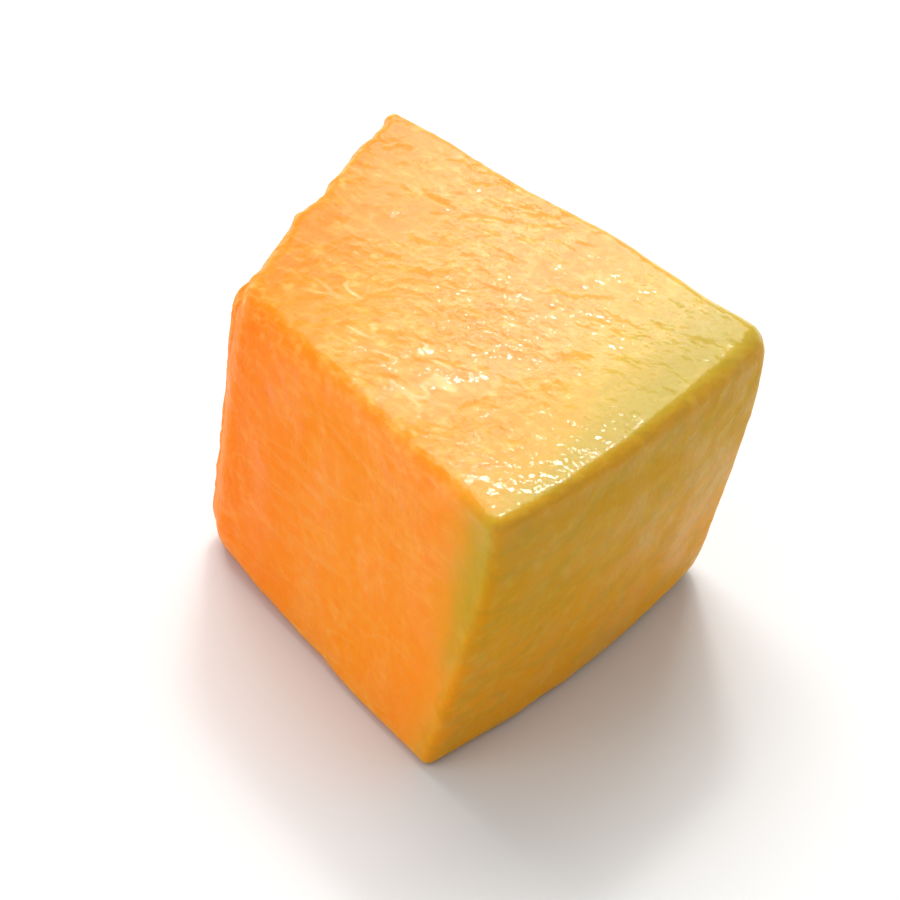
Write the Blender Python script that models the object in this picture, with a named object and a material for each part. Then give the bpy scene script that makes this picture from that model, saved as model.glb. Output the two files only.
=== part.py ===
"""One bite-size piece of muskmelon, peeled and cut from a slice, as a single solid.

It lies on its lower knife cut. The side that faced the seeds points to -X, the peeled side
that lay under the rind points to +X, and the two lengthwise cuts face -Y and +Y.
Metres, +Z up, with the origin under the middle of the piece.
"""

import math

import bmesh
import bpy

# Plan of the piece, seen from above
FLESH_DEPTH = 0.0290  # middle of the seed side to the middle of the peeled side
SEED_SIDE = 0.0202  # edge that faced the seeds
PEELED_SIDE = 0.0258  # edge that lay under the rind
SEED_SIDE_TURN = math.radians(25.0)  # the knife went askew, so neither edge is square
PEELED_SIDE_TURN = math.radians(14.5)
THICKNESS = 0.0190  # lower cut to upper cut

# Roundings, where the cut edges have worn
EDGE_RADIUS = 0.0008
SOFT_CORNER_RADIUS = 0.0027  # upright edge between the seed side and the front cut
PEELED_CORNER_RADIUS = 0.0016  # upright edge between the peeled side and the back cut

# The peeled side keeps the melon's curve and leans in towards its foot
PEELED_BULGE = 0.0011  # rise of the arc from front to back
PEELED_LEAN = 0.0022  # how far the foot lies behind the top
PEELED_RIDGE = 0.0009  # soft ridge where two strokes of the peeling knife meet
RIDGE_HEIGHT = 0.0163
RIDGE_SPREAD = 0.0042  # height over which the ridge fades, each way

# The seed side is a little hollow, with low uneven ridges where the seed strings grew
SEED_HOLLOW = 0.0003
SEED_LEAN = 0.0012
STRING_RIDGE = 0.00015
STRING_RIDGE_LENGTH = 0.0066  # from ridge to ridge
STRING_RIDGE_SWAY = 1.3  # radians that a ridge drifts between the foot and the top
SMALL_RIDGE = 0.6  # height of the ridges between them, as a share of STRING_RIDGE
SMALL_RIDGE_RATE = 1.7
SMALL_RIDGE_SWAY = 3.0
SMALL_RIDGE_PHASE = 1.0

# The knife's path: slow waves in the cuts, and an upper cut that drops at its rim and to the soft corner
CUT_WAVE = 0.00011
CUT_WAVE_LENGTH = 0.0135
SLANT_SHARE = 0.4  # part of the wave that runs aslant
SLANT_ACROSS = 0.6
SLANT_BACK = 0.5
SIDE_CUT_PHASE = 1.0
TOP_CUT_PHASE = 2.2
TOP_CROWN = 0.00030
CORNER_DROOP = 0.0012

# Grid of the starting cube, and how strongly its lines crowd towards the edges
GRID = (28, 22, 18)
CROWDING = 0.62

FLESH_COLOUR = (0.93, 0.42, 0.09, 1.0)
FLESH_ROUGHNESS = 0.32
FLAT_TOLERANCE = 1e-7


def crowd(t):
    """Moves a grid line at t, from -1 to 1, towards the nearer end."""
    return t + CROWDING * math.sin(math.pi * t) / math.pi


def clamp(value, limit):
    return max(-limit, min(limit, value))


def edge_radius(u, v):
    """Rounding at a place in the plan: small, and larger round two of the corners."""
    near_soft = ((1.0 - u) * (1.0 - v) / 4.0) ** 3
    near_peeled = ((1.0 + u) * (1.0 + v) / 4.0) ** 3
    soft_more = (SOFT_CORNER_RADIUS - EDGE_RADIUS) * near_soft
    return EDGE_RADIUS + soft_more + (PEELED_CORNER_RADIUS - EDGE_RADIUS) * near_peeled


def round_off(u, v, w):
    """The place of a point of the cube once the cube's edges are rounded, still from -1 to 1."""
    halves = (FLESH_DEPTH / 2, (SEED_SIDE + PEELED_SIDE) / 4, THICKNESS / 2)
    radius = edge_radius(u, v)
    box = [t * half for t, half in zip((u, v, w), halves)]
    core = [clamp(b, half - radius) for b, half in zip(box, halves)]
    out = [b - c for b, c in zip(box, core)]
    reach = math.sqrt(sum(o * o for o in out))
    return [(c + o * radius / reach) / half for c, o, half in zip(core, out, halves)]


def side_vector(length, turn):
    """Half of a side of the plan, from its middle to its back end."""
    return -math.sin(turn) * length / 2, math.cos(turn) * length / 2


def slow_wave(a, b, phase):
    """A slow wave over two directions, within about -1 to 1."""
    step = 2 * math.pi / CUT_WAVE_LENGTH
    straight = math.sin(step * a + phase)
    slant = math.sin(step * (SLANT_ACROSS * b - SLANT_BACK * a) + 2 * phase)
    return (1.0 - SLANT_SHARE) * straight + SLANT_SHARE * slant


def peeled_offset(v, height):
    """How far the peeled side stands out past its straight line."""
    stroke = math.sqrt(1.0 + ((height - RIDGE_HEIGHT) / RIDGE_SPREAD) ** 2)
    arc = PEELED_BULGE * (1.0 - v * v)
    lean = PEELED_LEAN * (height / THICKNESS - 1.0)
    return arc + lean - PEELED_RIDGE * (stroke - 1.0)


def seed_offset(v, height):
    """How far the seed side stands in from its straight line."""
    drift = STRING_RIDGE_SWAY * math.sin(math.pi * height / THICKNESS)
    phase = math.pi * SEED_SIDE / STRING_RIDGE_LENGTH * v + drift
    small = SMALL_RIDGE * math.sin(SMALL_RIDGE_RATE * phase - SMALL_RIDGE_SWAY * drift + SMALL_RIDGE_PHASE)
    lean = SEED_LEAN * (height / THICKNESS - 1.0)
    return SEED_HOLLOW * (1.0 - v * v) + lean + STRING_RIDGE * (math.sin(phase) + small)


def place(u, v, w):
    """A point of the piece, in metres, for a point of the starting cube."""
    u, v, w = round_off(crowd(u), crowd(v), crowd(w))
    peeled = (u + 1.0) / 2.0
    height = THICKNESS * (w + 1.0) / 2.0
    seed_x, seed_y = side_vector(SEED_SIDE, SEED_SIDE_TURN)
    peeled_x, peeled_y = side_vector(PEELED_SIDE, PEELED_SIDE_TURN)
    x = FLESH_DEPTH * u / 2.0 + v * (seed_x + (peeled_x - seed_x) * peeled)
    y = v * (seed_y + (peeled_y - seed_y) * peeled)
    shifted_x = x + peeled * peeled_offset(v, height) + (1.0 - peeled) * seed_offset(v, height)
    shifted_y = y + v * v * CUT_WAVE * slow_wave(x, height, SIDE_CUT_PHASE * (1.0 + v))
    drop = TOP_CROWN * (u * u + v * v) / 2.0 + CORNER_DROOP * (1.0 - peeled) ** 3 * (1.0 - v) / 2.0
    z = height + height / THICKNESS * (CUT_WAVE * slow_wave(x, y, TOP_CUT_PHASE) - drop)
    return shifted_x, shifted_y, z


def gridded_cube():
    """A cube from -1 to 1, its faces cut into the grid."""
    mesh = bmesh.new()
    bmesh.ops.create_cube(mesh, size=2.0)
    for axis, count in enumerate(GRID):
        for line in range(1, count):
            at = [0.0, 0.0, 0.0]
            along = [0.0, 0.0, 0.0]
            at[axis] = 2.0 * line / count - 1.0
            along[axis] = 1.0
            everything = mesh.verts[:] + mesh.edges[:] + mesh.faces[:]
            bmesh.ops.bisect_plane(mesh, geom=everything, plane_co=at, plane_no=along, dist=FLAT_TOLERANCE)
    return mesh


def stand_on_origin(mesh):
    """Moves the piece so that its box stands on the origin, centred."""
    lows = [min(vert.co[axis] for vert in mesh.verts) for axis in range(3)]
    highs = [max(vert.co[axis] for vert in mesh.verts) for axis in range(3)]
    middle = ((lows[0] + highs[0]) / 2, (lows[1] + highs[1]) / 2, lows[2])
    bmesh.ops.translate(mesh, verts=mesh.verts, vec=[-m for m in middle])


def join_flat_foot(mesh):
    """Makes one face of the flat underside that the piece rests on."""
    foot = [face for face in mesh.faces if all(abs(vert.co.z) < FLAT_TOLERANCE for vert in face.verts)]
    bmesh.ops.dissolve_faces(mesh, faces=foot, use_verts=False)


def flesh_material():
    material = bpy.data.materials.new("melon_flesh")
    material.use_nodes = True
    shader = material.node_tree.nodes["Principled BSDF"]
    shader.inputs["Base Color"].default_value = FLESH_COLOUR
    shader.inputs["Roughness"].default_value = FLESH_ROUGHNESS
    shader.inputs["Metallic"].default_value = 0.0
    material.diffuse_color = FLESH_COLOUR
    return material


def melon_chunk(collection):
    """The piece itself: the gridded cube with every point put in its place."""
    grid = gridded_cube()
    for vert in grid.verts:
        vert.co = place(*vert.co)
    stand_on_origin(grid)
    join_flat_foot(grid)
    mesh = bpy.data.meshes.new("melon_chunk")
    grid.to_mesh(mesh)
    grid.free()
    mesh.shade_smooth()
    mesh.materials.append(flesh_material())
    chunk = bpy.data.objects.new("melon_chunk", mesh)
    collection.objects.link(chunk)
    return chunk


def main():
    for old in list(bpy.data.objects):
        bpy.data.objects.remove(old, do_unlink=True)
    collection = bpy.data.collections.new("muskmelon_chunk")
    bpy.context.scene.collection.children.link(collection)
    chunk = melon_chunk(collection)
    print("melon_chunk", [round(1000.0 * size, 2) for size in chunk.dimensions], "mm")


main()
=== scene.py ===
# %% [markdown]
# # A bite of muskmelon
# One piece of ripe orange-fleshed melon, peeled and cut from a slice, lies on its flat lower cut.
# The frame below is the plain solid of that piece, at its real size. This script dresses it: a fine
# skin of wet cells, the faint strings of the seed side, the green that the peeling knife left, and
# light that goes a little way into the flesh.

# %% The frame and its box
import math

import bpy
from mathutils import Matrix, Vector


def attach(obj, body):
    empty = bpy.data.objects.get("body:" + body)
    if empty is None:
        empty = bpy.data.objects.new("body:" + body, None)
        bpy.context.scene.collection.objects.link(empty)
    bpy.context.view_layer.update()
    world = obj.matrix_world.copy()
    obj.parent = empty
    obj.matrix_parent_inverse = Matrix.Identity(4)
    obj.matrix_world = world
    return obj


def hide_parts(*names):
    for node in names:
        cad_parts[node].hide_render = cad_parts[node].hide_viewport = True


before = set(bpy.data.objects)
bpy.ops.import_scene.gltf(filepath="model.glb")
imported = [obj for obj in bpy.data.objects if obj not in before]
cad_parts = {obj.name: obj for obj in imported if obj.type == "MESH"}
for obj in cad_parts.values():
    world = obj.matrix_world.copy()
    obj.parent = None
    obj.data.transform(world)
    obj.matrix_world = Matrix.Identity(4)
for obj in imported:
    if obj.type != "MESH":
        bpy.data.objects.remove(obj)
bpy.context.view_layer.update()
MM = 0.001

# %% [markdown]
# ## Formulas as nodes
# The piece's shape follows a rule, so Geometry Nodes can make it. A formula of forty Math nodes is
# hard to read as forty calls. A small class helps: plain arithmetic on a Field adds the Math nodes,
# so the rule is written as it would be on paper. The same class serves the material.

# %% A value in a node tree
def feed(tree, slot, value):
    """Puts a Field, or a plain value, into an input."""
    if isinstance(value, Field):
        tree.links.new(value.socket, slot)
    else:
        slot.default_value = value


class Field:
    """A value in a node tree: arithmetic on it adds Math nodes there."""

    def __init__(self, tree, socket):
        self.tree = tree
        self.socket = socket

    def do(self, operation, *others):
        node = self.tree.nodes.new("ShaderNodeMath")
        node.operation = operation
        for slot, value in zip(node.inputs, (self, *others)):
            feed(self.tree, slot, value)
        return Field(self.tree, node.outputs[0])

    def __add__(self, other):
        return self.do("ADD", other)

    def __sub__(self, other):
        return self.do("SUBTRACT", other)

    def __mul__(self, other):
        return self.do("MULTIPLY", other)

    def __truediv__(self, other):
        return self.do("DIVIDE", other)

    def __pow__(self, other):
        return self.do("POWER", other)

    __radd__ = __add__
    __rmul__ = __mul__

    def __rsub__(self, other):
        return self * -1.0 + other

    def at_most(self, limit):
        return self.do("MINIMUM", limit)

    def at_least(self, limit):
        return self.do("MAXIMUM", limit)

    def step(self, start, end):
        """0 up to start and 1 from end on, with a soft rise between. start may be the larger."""
        node = self.tree.nodes.new("ShaderNodeMapRange")
        node.interpolation_type = "SMOOTHSTEP"
        for name, value in (("Value", self), ("From Min", start), ("From Max", end)):
            feed(self.tree, node.inputs[name], value)
        return Field(self.tree, node.outputs[0])

    def between(self, at_none, at_full):
        """One number where this value is 0, another where it is 1, and a mean of them in between."""
        return self * (at_full - at_none) + at_none


# %% Vectors of such values
def split(tree, vector):
    """The three numbers of a vector."""
    node = tree.nodes.new("ShaderNodeSeparateXYZ")
    tree.links.new(vector.socket, node.inputs[0])
    return [Field(tree, out) for out in node.outputs]


def join(tree, *numbers):
    """A vector of three numbers."""
    node = tree.nodes.new("ShaderNodeCombineXYZ")
    for slot, value in zip(node.inputs, numbers):
        feed(tree, slot, value)
    return Field(tree, node.outputs[0])


def stretched(tree, vector, factors):
    """A vector with each of its numbers multiplied."""
    node = tree.nodes.new("ShaderNodeVectorMath")
    node.operation = "MULTIPLY"
    tree.links.new(vector.socket, node.inputs[0])
    node.inputs[1].default_value = factors
    return Field(tree, node.outputs[0])


# %% [markdown]
# Two textures do all the natural work here. Noise gives clouds: streaks when its space is stretched,
# and fine lines where it crosses its middle value. Voronoi gives packed cells. Both are read in
# millimetres, so per_mm=2 means about two features in each millimetre.

# %% The two natural textures
def clouds(tree, place, per_mm, detail=2.0, roughness=0.5):
    """Noise around 0.5, with about so many clouds to the millimetre."""
    node = tree.nodes.new("ShaderNodeTexNoise")
    feed(tree, node.inputs["Vector"], place)
    node.inputs["Scale"].default_value = per_mm
    node.inputs["Detail"].default_value = detail
    node.inputs["Roughness"].default_value = roughness
    return Field(tree, node.outputs[0])


def lines(tree, place, per_mm, width, detail=1.0):
    """1 along the winding lines where the noise crosses its middle value, and 0 away from them."""
    return (clouds(tree, place, per_mm, detail) - 0.5).do("ABSOLUTE").step(width, 0.0)


def cells(tree, place, per_mm, feature="F1"):
    """Distance to the nearest cell's middle: 0 there, and about 0.6 at the cell's rim."""
    node = tree.nodes.new("ShaderNodeTexVoronoi")
    node.feature = feature
    feed(tree, node.inputs["Vector"], place)
    node.inputs["Scale"].default_value = per_mm
    return Field(tree, node.outputs["Distance"])


# %% [markdown]
# ## The shape of the piece
# A hasty cook cut this piece: the two lengthwise cuts part towards the peel, and neither end is
# square. It could be sculpted by hand, but a rule keeps its sizes as numbers that can be changed, and
# Geometry Nodes can follow a rule on every point at once. The tree starts from a cube of fine
# squares, from -1 to 1 each way, and moves each of its points. First the edges are rounded off, more
# at two worn corners. Then the square plan is stretched over the four corners of the real one. The
# peeled side gets the arc of the melon and the soft ridge where two strokes of the knife met, and
# the seed side its low ridges. The numbers are those of the solid, so the skin lies on it.

# %% Sizes of the piece
SIZES = {
    "Flesh Depth": 29.0 * MM,
    "Seed Side": 20.2 * MM,
    "Peeled Side": 25.8 * MM,
    "Thickness": 19.0 * MM,
    "Edge Radius": 0.8 * MM,
    "Soft Corner Radius": 2.7 * MM,
    "Peeled Corner Radius": 1.6 * MM,
}
SEED_SIDE_TURN = math.radians(25.0)
PEELED_SIDE_TURN = math.radians(14.5)
PEELED_BULGE = 1.1 * MM
PEELED_LEAN = 2.2 * MM  # how far the foot lies behind the top
PEELED_RIDGE = 0.9 * MM
RIDGE_HEIGHT = 16.3 * MM
RIDGE_SPREAD = 4.2 * MM
SEED_HOLLOW = 0.3 * MM
SEED_LEAN = 1.2 * MM
STRING_RIDGE = 0.15 * MM
STRING_RIDGE_LENGTH = 6.6 * MM
STRING_RIDGE_SWAY = 1.3  # radians that a ridge drifts between the foot and the top
SMALL_RIDGE = 0.6  # height of the ridges between them, as a share of STRING_RIDGE
SMALL_RIDGE_RATE = 1.7
SMALL_RIDGE_SWAY = 3.0
SMALL_RIDGE_PHASE = 1.0
CUT_WAVE = 0.11 * MM
CUT_WAVE_LENGTH = 13.5 * MM
SLANT_SHARE = 0.4  # part of the wave that runs aslant
SLANT_ACROSS = 0.6
SLANT_BACK = 0.5
SIDE_CUT_PHASE = 1.0
TOP_CUT_PHASE = 2.2
TOP_CROWN = 0.30 * MM
CORNER_DROOP = 1.2 * MM
FINE_GRID = (150, 118, 96)
FINE_CROWDING = 0.25  # how strongly the grid's lines crowd towards the edges
triangles = 4 * sum((FINE_GRID[a] - 1) * (FINE_GRID[b] - 1) for a, b in ((0, 1), (0, 2), (1, 2)))
print("the fine skin will have", triangles, "triangles")


# %% Rounding the cube
def crowd(t):
    """Moves a grid line towards the nearer end, where the shape turns."""
    return t + (t * math.pi).do("SINE") * (FINE_CROWDING / math.pi)


def edge_radius(u, v, size):
    """Rounding at a place in the plan: small, and larger round two of the corners."""
    near_soft = ((1.0 - u) * (1.0 - v) / 4.0) ** 3.0
    near_peeled = ((u + 1.0) * (v + 1.0) / 4.0) ** 3.0
    edge = size["Edge Radius"]
    soft_more = (size["Soft Corner Radius"] - edge) * near_soft
    return edge + soft_more + (size["Peeled Corner Radius"] - edge) * near_peeled


def round_off(uvw, size):
    """The cube's points once its edges are rounded, still from -1 to 1."""
    u, v, w = uvw
    mean_width = (size["Seed Side"] + size["Peeled Side"]) / 2.0
    halves = (size["Flesh Depth"] / 2.0, mean_width / 2.0, size["Thickness"] / 2.0)
    radius = edge_radius(u, v, size)
    box = [t * half for t, half in zip((u, v, w), halves)]
    core = [b.at_most(half - radius).at_least(radius - half) for b, half in zip(box, halves)]
    out = [b - c for b, c in zip(box, core)]
    reach = (out[0] * out[0] + out[1] * out[1] + out[2] * out[2]).do("SQRT")
    return [(c + o * radius / reach) / half for c, o, half in zip(core, out, halves)]


# %% How the two ends depart from straight lines
def peeled_offset(v, height, thickness):
    """How far the peeled side stands out past its straight line."""
    stroke = (((height - RIDGE_HEIGHT) / RIDGE_SPREAD) ** 2.0 + 1.0).do("SQRT")
    arc = (1.0 - v * v) * PEELED_BULGE
    lean = (height / thickness - 1.0) * PEELED_LEAN
    return arc + lean - (stroke - 1.0) * PEELED_RIDGE


def seed_offset(v, height, size):
    """How far the seed side stands in from its straight line."""
    drift = (height / size["Thickness"] * math.pi).do("SINE") * STRING_RIDGE_SWAY
    phase = v * size["Seed Side"] * (math.pi / STRING_RIDGE_LENGTH) + drift
    small = (phase * SMALL_RIDGE_RATE - drift * SMALL_RIDGE_SWAY + SMALL_RIDGE_PHASE).do("SINE")
    lean = (height / size["Thickness"] - 1.0) * SEED_LEAN
    return (1.0 - v * v) * SEED_HOLLOW + lean + (phase.do("SINE") + small * SMALL_RIDGE) * STRING_RIDGE


# %% Stretching the cube over the plan
def slow_wave(a, b, phase):
    """The knife's path: a slow wave over two directions."""
    turn = 2.0 * math.pi / CUT_WAVE_LENGTH
    straight = (a * turn + phase).do("SINE")
    slant = ((b * SLANT_ACROSS - a * SLANT_BACK) * turn + phase * 2.0).do("SINE")
    return straight * (1.0 - SLANT_SHARE) + slant * SLANT_SHARE


def side_vector(length, turn):
    """Half of a side of the plan, from its middle to its back end."""
    return length * (-math.sin(turn) / 2.0), length * (math.cos(turn) / 2.0)


def placed(uvw, size):
    """A point of the piece in metres, and how far it lies towards the peel and the top, 0 to 1."""
    u, v, w = uvw
    peeled = (u + 1.0) / 2.0
    thickness = size["Thickness"]
    height = thickness * (w + 1.0) / 2.0
    seed_x, seed_y = side_vector(size["Seed Side"], SEED_SIDE_TURN)
    peel_x, peel_y = side_vector(size["Peeled Side"], PEELED_SIDE_TURN)
    x = size["Flesh Depth"] * u / 2.0 + v * (seed_x + (peel_x - seed_x) * peeled)
    y = v * (seed_y + (peel_y - seed_y) * peeled)
    across = peeled * peeled_offset(v, height, thickness) + (1.0 - peeled) * seed_offset(v, height, size)
    sway = v * v * slow_wave(x, height, (v + 1.0) * SIDE_CUT_PHASE) * CUT_WAVE
    droop = (1.0 - peeled) ** 3.0 * (1.0 - v) * (CORNER_DROOP / 2.0)
    drop = (u * u + v * v) * (TOP_CROWN / 2.0) + droop
    rise = slow_wave(x, y, TOP_CUT_PHASE) * CUT_WAVE - drop
    return (x + across, y + sway, height + height / thickness * rise), peeled, (w + 1.0) / 2.0


# %% [markdown]
# ## The wet skin of cells
# Cut melon isn't smooth. The knife opens thousands of juice cells, which stand up as grains, pulls
# short strings out of the flesh, and tears small pits along them. At the seed side faint strings
# run up and down, and the peeling knife leaves fine drag lines. Space that is squeezed along one
# axis draws a pattern out that way: along X for the fibres, which run from the seeds to the rind.
# Bump alone would leave the outline clean and would not be part of the mesh, so the larger relief moves
# real points. The foot lies flat on the table: relief there can only go inwards.

# %% Relief on the real points
SWELL = 0.14  # these heights are in millimetres
GRAIN = 0.05
PULLED_FIBRE = 0.045
TORN_PIT = 0.07
SEED_STRING = 0.13
SEED_LUMP = 0.12
DRAG_LINE = 0.07
PEEL_SWELL = 0.16
CELL_MIDDLE = 0.42  # about the mean distance to a cell's middle
print("strings on the seed side stand up to", SEED_STRING, "mm, and pits go down", TORN_PIT, "mm")


def flesh_relief(tree, place, depth):
    """Height of the skin above the plain shape, less in the firm flesh near the rind."""
    fibre = stretched(tree, place, (0.45, 1.0, 1.0))
    grain = (CELL_MIDDLE - cells(tree, fibre, per_mm=1.15, feature="SMOOTH_F1")) * GRAIN
    swell = (clouds(tree, place, per_mm=0.28) - 0.5) * SWELL
    pulled = lines(tree, stretched(tree, place, (0.55, 1.0, 1.0)), per_mm=0.62, width=0.045)
    patch = clouds(tree, place, per_mm=0.16, detail=1.0).step(0.42, 0.6)
    torn = clouds(tree, fibre, per_mm=0.7).step(0.62, 0.74) * -TORN_PIT
    soft = depth.step(0.97, 0.80)
    return (grain + torn + pulled * PULLED_FIBRE * patch) * soft.between(0.4, 1.0) + swell


# %% Relief of the seed side and of the peeled side
def seed_strings(tree, place):
    """1 on the wet strings that cross the seed side, mostly up and down, and 0 between them."""
    upright = lines(tree, stretched(tree, place, (1.0, 1.0, 0.35)), per_mm=0.24, width=0.07, detail=2.0)
    slanting = lines(tree, stretched(tree, place, (1.0, 0.8, 0.6)), per_mm=0.42, width=0.05, detail=2.0)
    return upright.at_least(slanting * 0.7)


def seed_relief(tree, place):
    """The seed side: its strings stand up from soft uneven flesh."""
    lumps = clouds(tree, place, per_mm=0.9, detail=3.0) - 0.5
    return seed_strings(tree, place) * SEED_STRING + lumps * SEED_LUMP


def peel_relief(tree, place):
    """Drag lines of the peeling knife, which went round the melon."""
    drag = clouds(tree, stretched(tree, place, (1.0, 0.12, 1.0)), per_mm=1.3, detail=3.0) - 0.5
    return drag * DRAG_LINE + (clouds(tree, place, per_mm=0.30) - 0.5) * PEEL_SWELL


# %% [markdown]
# ## The tree
# Everything meets here. A second Set Position reads the normals of the shape that the first one
# made, which is why the relief stands straight out of each side. The tree also keeps each point's
# depth in the flesh and its height as attributes, because the colour and the wetness follow them.

# %% An empty tree and a short way to add to it
def new_tree():
    """An empty tree with the piece's sizes as its inputs."""
    tree = bpy.data.node_groups.new("Melon piece", "GeometryNodeTree")
    sockets = tree.interface
    for name, value in (*SIZES.items(), ("Relief", 1.0)):
        slot = sockets.new_socket(name=name, in_out="INPUT", socket_type="NodeSocketFloat")
        slot.default_value = value
    sockets.new_socket(name="Flesh", in_out="INPUT", socket_type="NodeSocketMaterial")
    sockets.new_socket(name="Geometry", in_out="OUTPUT", socket_type="NodeSocketGeometry")
    return tree


def add(tree, kind, geometry=None, **values):
    """A geometry node, with the last one's geometry linked in and its inputs fed by name."""
    node = tree.nodes.new(kind)
    if geometry is not None:
        tree.links.new(geometry, node.inputs[0])
    for name, value in values.items():
        feed(tree, node.inputs[name.replace("_", " ")], value)
    return node


def centred(tree, geometry):
    """The shift that stands a shape's box on the origin."""
    box = add(tree, "GeometryNodeBoundBox", geometry)
    low = split(tree, Field(tree, box.outputs["Min"]))
    high = split(tree, Field(tree, box.outputs["Max"]))
    return join(tree, (low[0] + high[0]) * -0.5, (low[1] + high[1]) * -0.5, low[2] * -1.0)


# %% The plain shape
def plain_shape(tree, size):
    """The cube of fine squares with every point in its place, standing on the origin."""
    cube = add(tree, "GeometryNodeMeshCube")
    cube.inputs["Size"].default_value = (2.0, 2.0, 2.0)
    for axis, count in zip("XYZ", FINE_GRID):
        cube.inputs["Vertices " + axis].default_value = count
    start = Field(tree, tree.nodes.new("GeometryNodeInputPosition").outputs[0])
    uvw = round_off([crowd(t) for t in split(tree, start)], size)
    point, peeled, level = placed(uvw, size)
    deep = add(tree, "GeometryNodeStoreNamedAttribute", cube.outputs[0], Name="depth", Value=peeled)
    high = add(tree, "GeometryNodeStoreNamedAttribute", deep.outputs[0], Name="height", Value=level)
    shaped = add(tree, "GeometryNodeSetPosition", high.outputs[0], Position=join(tree, *point))
    return add(tree, "GeometryNodeSetPosition", shaped.outputs[0], Offset=centred(tree, shaped.outputs[0]))


# %% The skin on it
def raised_skin(tree, stood, relief):
    """The shape with its relief, moved straight out of each side and never below the table."""
    here = Field(tree, tree.nodes.new("GeometryNodeInputPosition").outputs[0])
    normal = Field(tree, tree.nodes.new("GeometryNodeInputNormal").outputs[0])
    kept = tree.nodes.new("GeometryNodeInputNamedAttribute")
    kept.inputs["Name"].default_value = "depth"
    depth = Field(tree, kept.outputs["Attribute"])
    place = stretched(tree, here, (1.0 / MM,) * 3)
    at_seeds = seed_relief(tree, place) * depth.step(0.045, 0.005)
    at_peel = peel_relief(tree, place) * depth.step(0.96, 0.995)
    height = (flesh_relief(tree, place, depth) + at_seeds + at_peel) * relief * MM
    moved = [h + n * height for h, n in zip(split(tree, here), split(tree, normal))]
    above = join(tree, moved[0], moved[1], moved[2].at_least(0.0))
    return add(tree, "GeometryNodeSetPosition", stood.outputs[0], Position=above)


# %% The whole tree
def melon_tree():
    """The whole piece: cube, shape, relief, smooth shading and flesh."""
    tree = new_tree()
    group = tree.nodes.new("NodeGroupInput")
    size = {name: Field(tree, group.outputs[name]) for name in SIZES}
    stood = plain_shape(tree, size)
    raised = raised_skin(tree, stood, Field(tree, group.outputs["Relief"]))
    smooth = add(tree, "GeometryNodeSetShadeSmooth", raised.outputs[0])
    real = add(tree, "GeometryNodeRealizeInstances", smooth.outputs[0])
    flesh = Field(tree, group.outputs["Flesh"])
    dressed = add(tree, "GeometryNodeSetMaterial", real.outputs[0], Material=flesh)
    result = tree.nodes.new("NodeGroupOutput")
    tree.links.new(dressed.outputs[0], result.inputs[0])
    print(tree.name, "has", len(tree.nodes), "nodes")
    return tree


# %% [markdown]
# ## The colour of the flesh
# From the seeds outwards the flesh is deep orange, then a clear orange, and it turns yellow-green in
# the last few millimetres under the rind. It could be painted, but paint needs a flat map of the
# piece and one fixed size. A colour ramp on the depth attribute gives the same, sharp at any size.
# A little noise makes the border uneven. The peeling knife went deeper at the front than at the back, so
# the green is wider at the back. Towards the foot the green gives way to orange: painted orange bounce
# light and shade. The amber of the peeled side is partly painted orange bounce light too.

# %% Colours of ripe melon
FLESH_STOPS = (
    (0.00, (0.90, 0.190, 0.004)),
    (0.30, (0.93, 0.245, 0.006)),
    (0.70, (0.92, 0.250, 0.009)),
    (0.77, (0.82, 0.275, 0.012)),
    (0.83, (0.61, 0.295, 0.013)),
    (0.89, (0.46, 0.300, 0.014)),
    (1.00, (0.40, 0.280, 0.014)),
)
# Pale flesh colour, also laid on the upper cut as painted sheen.
PALE_FLESH_AND_PAINTED_SHEEN = (0.98, 0.515, 0.13, 1.0)
DEEP_FLESH = (0.86, 0.19, 0.012, 1.0)
# Near-white colour of the painted glints on the upper cut.
PAINTED_GLINT_COLOUR = (1.0, 0.80, 0.42, 1.0)
# Amber of the peeled side, partly painted orange bounce light.
PEELED_AMBER_AND_PAINTED_BOUNCE = (0.54, 0.255, 0.005, 1.0)
# Painted orange bounce light and shade low on the peeled side.
PAINTED_BOUNCE_ORANGE = (0.80, 0.27, 0.006, 1.0)
GREEN_VEIN = (0.30, 0.25, 0.020, 1.0)
PALE_GREEN = (0.66, 0.47, 0.080, 1.0)
green_mm = (1.0 - FLESH_STOPS[3][0]) * SIZES["Flesh Depth"] / MM
print("the flesh turns green about", round(green_mm, 1), "mm under the peeled side")


def ramp(tree, value, stops):
    """A colour that follows a value through the stops."""
    node = tree.nodes.new("ShaderNodeValToRGB")
    tree.links.new(value.socket, node.inputs[0])
    while len(node.color_ramp.elements) < len(stops):
        node.color_ramp.elements.new(1.0)
    for element, (place, colour) in zip(node.color_ramp.elements, stops):
        element.position = place
        element.color = (*colour, 1.0)
    return node.outputs[0]


def mixed(tree, colour, other, amount):
    """A colour with some of another over it."""
    node = tree.nodes.new("ShaderNodeMix")
    node.data_type = "RGBA"
    tree.links.new(amount.socket, node.inputs["Factor"])
    tree.links.new(colour, node.inputs[6])
    node.inputs[7].default_value = other
    return node.outputs[2]


# %% From orange to green
WIDE_WANDER = 0.09  # how far the border strays, as a share of the flesh's depth
NARROW_WANDER = 0.03
GREEN_AT_FRONT = -0.08  # shifts of the border from front to back and from top to foot
GREEN_AT_BACK = 0.11
# Painted orange bounce light and shade: the green border moves outwards towards the foot.
GREEN_LOST_TO_PAINTED_BOUNCE = 0.09
AMBER_AND_BOUNCE_SHARE = 0.75  # shares say how much of a colour covers the one below it
PAINTED_BOUNCE_ORANGE_SHARE = 0.55


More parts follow.
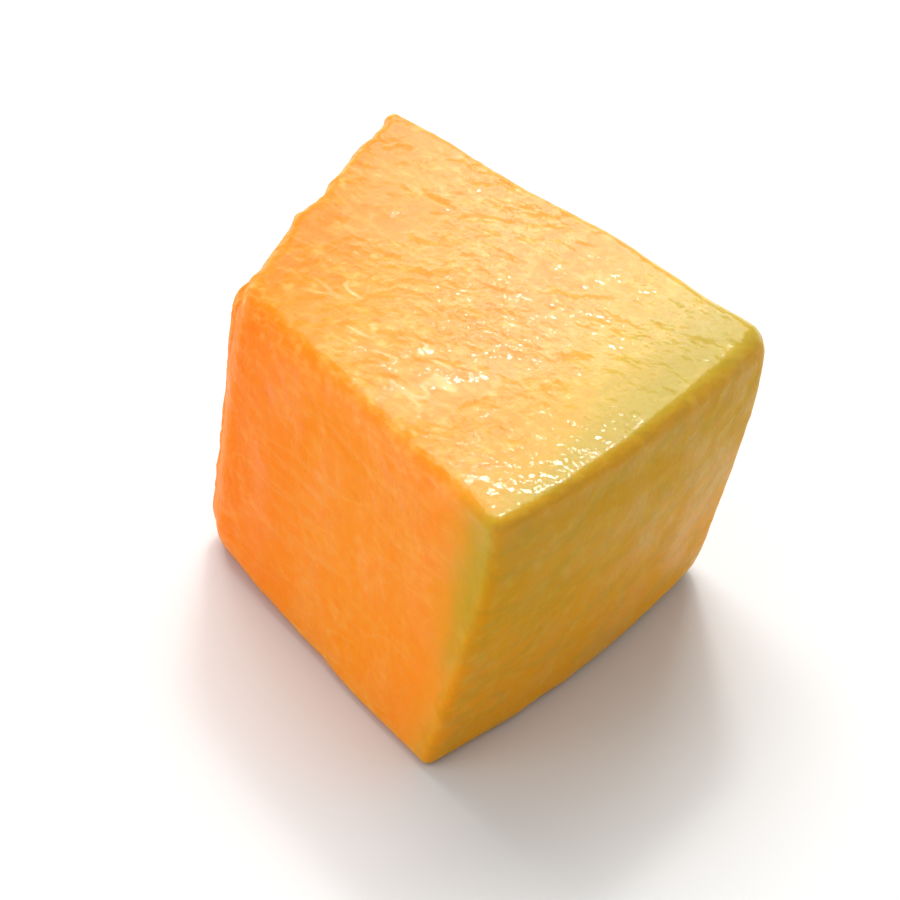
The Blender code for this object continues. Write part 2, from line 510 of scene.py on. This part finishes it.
def ground_colour(tree, place, depth, height):
    """Orange that turns green near the rind; amber on the peeled side, partly painted orange bounce light;
    and painted orange bounce light and shade towards the foot.
    """
    wide = (clouds(tree, place, per_mm=0.22, detail=3.0) - 0.5) * WIDE_WANDER
    narrow = (clouds(tree, place, per_mm=1.3) - 0.5) * NARROW_WANDER
    less_peeled = split(tree, place)[1].step(-10.0, 8.0).between(GREEN_AT_FRONT, GREEN_AT_BACK)
    # Painted orange bounce light and shade: less green towards the foot.
    painted_bounce_below = height.step(1.0, 0.2) * GREEN_LOST_TO_PAINTED_BOUNCE
    colour = ramp(tree, depth + wide + narrow + less_peeled - painted_bounce_below, FLESH_STOPS)
    # Amber on the peeled side, partly painted orange bounce light.
    colour = mixed(tree, colour, PEELED_AMBER_AND_PAINTED_BOUNCE, depth.step(0.97, 1.0) * AMBER_AND_BOUNCE_SHARE)
    # Painted orange bounce light and shade low on the peeled side.
    painted_bounce_low_on_peel = height.step(0.98, 0.1) * depth.step(0.94, 1.0)
    return mixed(tree, colour, PAINTED_BOUNCE_ORANGE, painted_bounce_low_on_peel * PAINTED_BOUNCE_ORANGE_SHARE)


# %% [markdown]
# Opened cells scatter light, so the cut flesh is cloudy, with pale flecks as fine as grains of sand. On
# the upper cut the clouds and flecks are laid on more thickly, less towards the seed side: that extra
# paleness is painted sheen. Hair-fine fibres run from the seeds to the rind. Near the front of the upper
# cut, short near-white strokes along the strings that the knife pulled are painted glints.

# %% Clouds, flecks, fibres and painted sheen
# On the upper cut the larger shares are partly painted sheen.
CLOUD_AND_PAINTED_SHEEN_SHARES = (0.11, 0.26)  # on the sides and on the upper cut
FLECK_AND_PAINTED_SHEEN_SHARES = (0.15, 0.36)
DEEP_SHARE = 0.20
FIBRE_SHARE = 0.12


def mottled(tree, colour, place, depth, upper):
    """The flesh with its cloudy patches, pale flecks and fibres, which end at the green; the extra pale on
    the upper cut is painted sheen.
    """
    inner = depth.step(0.93, 0.80)
    cloudy = clouds(tree, place, per_mm=0.9, detail=4.0, roughness=0.6)
    # Pale clouds, heavier on the upper cut and away from the seed side: there partly painted sheen.
    pale_and_painted_sheen = cloudy.step(0.44, 0.70) * upper.between(*CLOUD_AND_PAINTED_SHEEN_SHARES) * depth.step(-0.1, 0.5)
    colour = mixed(tree, colour, PALE_FLESH_AND_PAINTED_SHEEN, pale_and_painted_sheen * inner)
    colour = mixed(tree, colour, DEEP_FLESH, cloudy.step(0.50, 0.28) * DEEP_SHARE * inner)
    fine = clouds(tree, stretched(tree, place, (0.7, 1.0, 1.0)), per_mm=1.6, detail=3.0).step(0.50, 0.74)
    patches = clouds(tree, place, per_mm=0.22).step(0.34, 0.58)
    # Pale flecks, heavier on the upper cut: there partly painted sheen.
    colour = mixed(tree, colour, PALE_FLESH_AND_PAINTED_SHEEN, fine * patches * upper.between(*FLECK_AND_PAINTED_SHEEN_SHARES) * inner)
    fibres = lines(tree, stretched(tree, place, (0.10, 1.0, 1.0)), per_mm=0.8, width=0.035, detail=2.0)
    return mixed(tree, colour, PALE_FLESH_AND_PAINTED_SHEEN, fibres * FIBRE_SHARE * inner)


# %% Strings and painted glints
FRONT_EDGE = 9.2  # millimetres from the origin to the front cut at the seed side
FRONT_SPREAD = 3.3  # how much further out the front cut lies at the peeled side
PAINTED_GLINT_SHARE = 0.26
SEED_STRING_SHARE = 0.14


def strings_and_painted_glints(tree, colour, place, depth, upper):
    """Painted glints along strings that the knife pulled out near the front of the upper cut, and the pale
    strings of the seed side.
    """
    # Painted glints: near-white strokes on the upper cut, in a band near its front.
    pulled = lines(tree, stretched(tree, place, (0.35, 1.0, 1.0)), per_mm=0.5, width=0.05)
    broken = clouds(tree, place, per_mm=0.45, detail=1.0).step(0.48, 0.60)
    from_front = split(tree, place)[1] + depth * FRONT_SPREAD + FRONT_EDGE
    band = from_front.step(7.5, 5.5) * from_front.step(1.5, 3.5)
    middle = depth.step(0.10, 0.25) * depth.step(0.8, 0.6)
    painted_glints = pulled * broken * band * middle * upper
    colour = mixed(tree, colour, PAINTED_GLINT_COLOUR, painted_glints * PAINTED_GLINT_SHARE)
    at_seeds = seed_strings(tree, place) * depth.step(0.03, 0.005)
    return mixed(tree, colour, PALE_FLESH_AND_PAINTED_SHEEN, at_seeds * SEED_STRING_SHARE)


# %% Marks on the peeled side
VEIN_SHARE = 0.22
SPOT_SHARE = 0.20


def peel_marked(tree, colour, place, depth):
    """Darker veins and paler spots, which the peeling knife laid open."""
    peel = depth.step(0.90, 0.99)
    veins = lines(tree, stretched(tree, place, (1.0, 0.35, 1.0)), per_mm=0.4, width=0.07, detail=3.0)
    colour = mixed(tree, colour, GREEN_VEIN, veins * peel * VEIN_SHARE)
    spots = clouds(tree, place, per_mm=1.0, detail=3.0).step(0.46, 0.74)
    return mixed(tree, colour, PALE_GREEN, spots * peel * SPOT_SHARE)


# %% [markdown]
# ## Wet and lit from within
# Juice stands on the flesh as a thin film. It follows the cells only roughly, so it has its own
# normals: the coat of the shader. The upper cut is wettest, and there the film breaks into small
# glints. The sides have drained, and are wet in patches. Below the film, light enters the flesh and
# comes out again a millimetre or two away, red the furthest. Subsurface scattering does that. A
# plain diffuse colour would look like painted wood.

# %% Grain and film
GRAIN_BUMP = 0.06  # in millimetres
FILM_BUMP = 0.32
ROUGHNESSES = (0.24, 0.54)  # least and most
WET_TOP = (0.20, 0.75)  # on the upper cut, at the seed side and further in
DRIER_AT_PEEL = 0.26
WET_SIDES = 0.05  # everywhere on the sides, a little more off the peeled one, and most in patches
WET_CUTS = 0.05
WET_PATCHES = 0.20


def bumped(tree, height, depth_mm):
    """A normal from a height of 0 to 1 that stands for so many millimetres."""
    bump = tree.nodes.new("ShaderNodeBump")
    bump.inputs["Strength"].default_value = 1.0
    bump.inputs["Distance"].default_value = depth_mm * MM
    tree.links.new(height.socket, bump.inputs["Height"])
    return bump.outputs[0]


def flesh_grain(tree, place):
    """Grain too fine for the mesh: the opened cells."""
    return clouds(tree, place, per_mm=4.5) * 0.45 - cells(tree, place, per_mm=2.6) * 0.6


def juice_film(tree, place, depth):
    """The film of juice over the cells, which breaks into glints in patches, mostly near the front."""
    front = split(tree, place)[1].step(9.0, -6.0) * depth.step(0.90, 0.68)
    broken = clouds(tree, place, per_mm=0.30, detail=1.0).step(0.36, 0.58) * front.between(0.2, 1.0)
    return clouds(tree, stretched(tree, place, (0.6, 1.0, 1.0)), per_mm=1.4) * broken.between(0.25, 1.0)


def wetness(tree, place, depth, upper):
    """How much juice covers the flesh: most in the middle of the upper cut, least on the peeled side."""
    y = split(tree, place)[1]
    inwards = (depth + y * 0.03).step(-0.2, 0.6).between(*WET_TOP)
    on_top = inwards - (depth - y * 0.015).step(0.68, 0.86) * DRIER_AT_PEEL
    patches = clouds(tree, place, per_mm=0.28).step(0.42, 0.64) * WET_PATCHES
    on_sides = patches + depth.step(1.0, 0.97) * WET_CUTS + WET_SIDES
    return on_top * upper + on_sides * (1.0 - upper)


# %% The flesh material
def kept_value(tree, name):
    """A value that the piece keeps at each of its points."""
    attribute = tree.nodes.new("ShaderNodeAttribute")
    attribute.attribute_name = name
    return Field(tree, attribute.outputs["Fac"])


def melon_flesh():
    """Moist flesh that light enters: subsurface colour under a thin coat of juice."""
    material = bpy.data.materials.new("melon_flesh_wet")
    material.use_nodes = True
    tree = material.node_tree
    shader = tree.nodes["Principled BSDF"]
    coordinates = tree.nodes.new("ShaderNodeTexCoord")
    place = stretched(tree, Field(tree, coordinates.outputs["Object"]), (1.0 / MM,) * 3)
    depth = kept_value(tree, "depth")
    height = kept_value(tree, "height")
    upper = height.step(0.86, 1.0)
    colour = ground_colour(tree, place, depth, height)
    colour = mottled(tree, colour, place, depth, upper)
    colour = strings_and_painted_glints(tree, colour, place, depth, upper)
    colour = peel_marked(tree, colour, place, depth)
    tree.links.new(colour, shader.inputs["Base Color"])
    feed(tree, shader.inputs["Roughness"], clouds(tree, place, per_mm=0.8).between(*ROUGHNESSES))
    feed(tree, shader.inputs["Coat Weight"], wetness(tree, place, depth, upper))
    tree.links.new(bumped(tree, flesh_grain(tree, place), GRAIN_BUMP), shader.inputs["Normal"])
    tree.links.new(bumped(tree, juice_film(tree, place, depth), FILM_BUMP), shader.inputs["Coat Normal"])
    shader.inputs["IOR"].default_value = 1.34
    shader.inputs["Specular IOR Level"].default_value = 0.03
    shader.inputs["Subsurface Weight"].default_value = 1.0
    shader.inputs["Subsurface Radius"].default_value = (1.0, 0.42, 0.14)
    shader.inputs["Subsurface Scale"].default_value = 1.7 * MM
    shader.inputs["Coat Roughness"].default_value = 0.08
    shader.inputs["Coat IOR"].default_value = 1.38
    print(material.name, "has", len(tree.nodes), "nodes")
    return material


# %% [markdown]
# ## Making the piece
# The modifier sits on an empty mesh, since the tree makes everything itself. Its result is copied to a
# plain mesh, so that nothing live is left on it.

# %% From tree to plain mesh
def grown(name, tree, **values):
    """A plain mesh object made by a tree, with some of its inputs set."""
    host = bpy.data.objects.new(name + "_host", bpy.data.meshes.new(name + "_host"))
    bpy.context.scene.collection.objects.link(host)
    modifier = host.modifiers.new("Shape", "NODES")
    modifier.node_group = tree
    for item in tree.interface.items_tree:
        if item.name in values:
            modifier[item.identifier] = values[item.name]
    evaluated = host.evaluated_get(bpy.context.evaluated_depsgraph_get())
    mesh = bpy.data.meshes.new_from_object(evaluated)
    mesh.name = name
    bpy.data.objects.remove(host, do_unlink=True)
    piece = bpy.data.objects.new(name, mesh)
    bpy.context.scene.collection.objects.link(piece)
    return piece


flesh = grown("melon_flesh_piece", melon_tree(), Flesh=melon_flesh())
print("skin:", len(flesh.data.vertices), "points, mm:", [round(side / MM, 2) for side in flesh.dimensions])
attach(flesh, "root")
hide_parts("melon_chunk")

# %% [markdown]
# ## Floor, light and camera
# The photograph was lit by broad soft light above and a little behind, in a white room: upper cuts
# are pale and shine, the sides that face the camera glow deep orange, and shadows are faint. One
# wide light behind gives the shine, a small one beside it the glints, and a third one in front opens
# the shaded sides. The camera looks down at about 34 degrees through a long lens.

# %% Floor
FLOOR_SIZE = 4.0
FLOOR_GAP = 0.05 * MM  # keeps the floor and the flat foot from sharing a plane
FLOOR_COLOUR = (0.66, 0.66, 0.655, 1.0)
FLOOR_ROUGHNESS = 0.6


def studio_floor():
    bpy.ops.mesh.primitive_plane_add(size=FLOOR_SIZE, location=(0.0, 0.0, -FLOOR_GAP))
    floor = bpy.context.object
    floor.name = "floor"
    material = bpy.data.materials.new("white_floor")
    material.use_nodes = True
    shader = material.node_tree.nodes["Principled BSDF"]
    shader.inputs["Base Color"].default_value = FLOOR_COLOUR
    shader.inputs["Roughness"].default_value = FLOOR_ROUGHNESS
    floor.data.materials.append(material)


studio_floor()
print("floor:", FLOOR_SIZE, "m wide,", FLOOR_GAP / MM, "mm below the foot")

# %% Light
WORLD_STRENGTH = 0.75
VIEW_AZIMUTH = 49.6
VIEW_ELEVATION = 33.9


def direction(azimuth, elevation):
    """The way from the object to a place at this azimuth, where 0 is at -Y, and elevation."""
    a, e = math.radians(azimuth), math.radians(elevation)
    return Vector((math.sin(a) * math.cos(e), -math.cos(a) * math.cos(e), math.sin(e)))


def soft_light(name, azimuth, elevation, distance, size, watts):
    """A square light that faces the origin. The azimuth is counted from the camera's."""
    lamp = bpy.data.lights.new(name, "AREA")
    lamp.shape = "SQUARE"
    lamp.size = size
    lamp.energy = watts
    light = bpy.data.objects.new(name, lamp)
    bpy.context.scene.collection.objects.link(light)
    back = direction(VIEW_AZIMUTH + azimuth, elevation)
    turn = back.to_track_quat("Z", "Y").to_matrix().to_4x4()
    light.matrix_world = Matrix.Translation(back * distance) @ turn


world = bpy.data.worlds.new("white_room")
world.use_nodes = True
world.node_tree.nodes["Background"].inputs["Color"].default_value = (1.0, 1.0, 1.0, 1.0)
world.node_tree.nodes["Background"].inputs["Strength"].default_value = WORLD_STRENGTH
bpy.context.scene.world = world
bpy.context.scene.view_settings.view_transform = "Standard"
soft_light("key_light", azimuth=-172.0, elevation=50.0, distance=0.6, size=0.50, watts=3.5)
soft_light("back_glint", azimuth=-184.0, elevation=50.0, distance=0.7, size=0.08, watts=1.0)
soft_light("front_fill", azimuth=-50.0, elevation=30.0, distance=0.9, size=0.60, watts=1.8)
print("lights:", [(light.name, light.energy) for light in bpy.data.lights])

# %% Camera
CAMERA_DISTANCE = 0.471
CAMERA_LENS = 340.0
CAMERA_ROLL = math.radians(3.3)
CAMERA_CLIP_START = 0.01
LOOK_AT = Vector((0.0, 0.0, 8.5 * MM))


def photo_camera():
    camera = bpy.data.objects.new("camera", bpy.data.cameras.new("camera"))
    bpy.context.scene.collection.objects.link(camera)
    back = direction(VIEW_AZIMUTH, VIEW_ELEVATION)
    turn = back.to_track_quat("Z", "Y").to_matrix().to_4x4() @ Matrix.Rotation(CAMERA_ROLL, 4, "Z")
    camera.matrix_world = Matrix.Translation(LOOK_AT + back * CAMERA_DISTANCE) @ turn
    camera.data.lens = CAMERA_LENS
    camera.data.clip_start = CAMERA_CLIP_START
    bpy.context.scene.camera = camera


photo_camera()
print("camera at, m:", [round(along, 3) for along in bpy.context.scene.camera.matrix_world.translation])
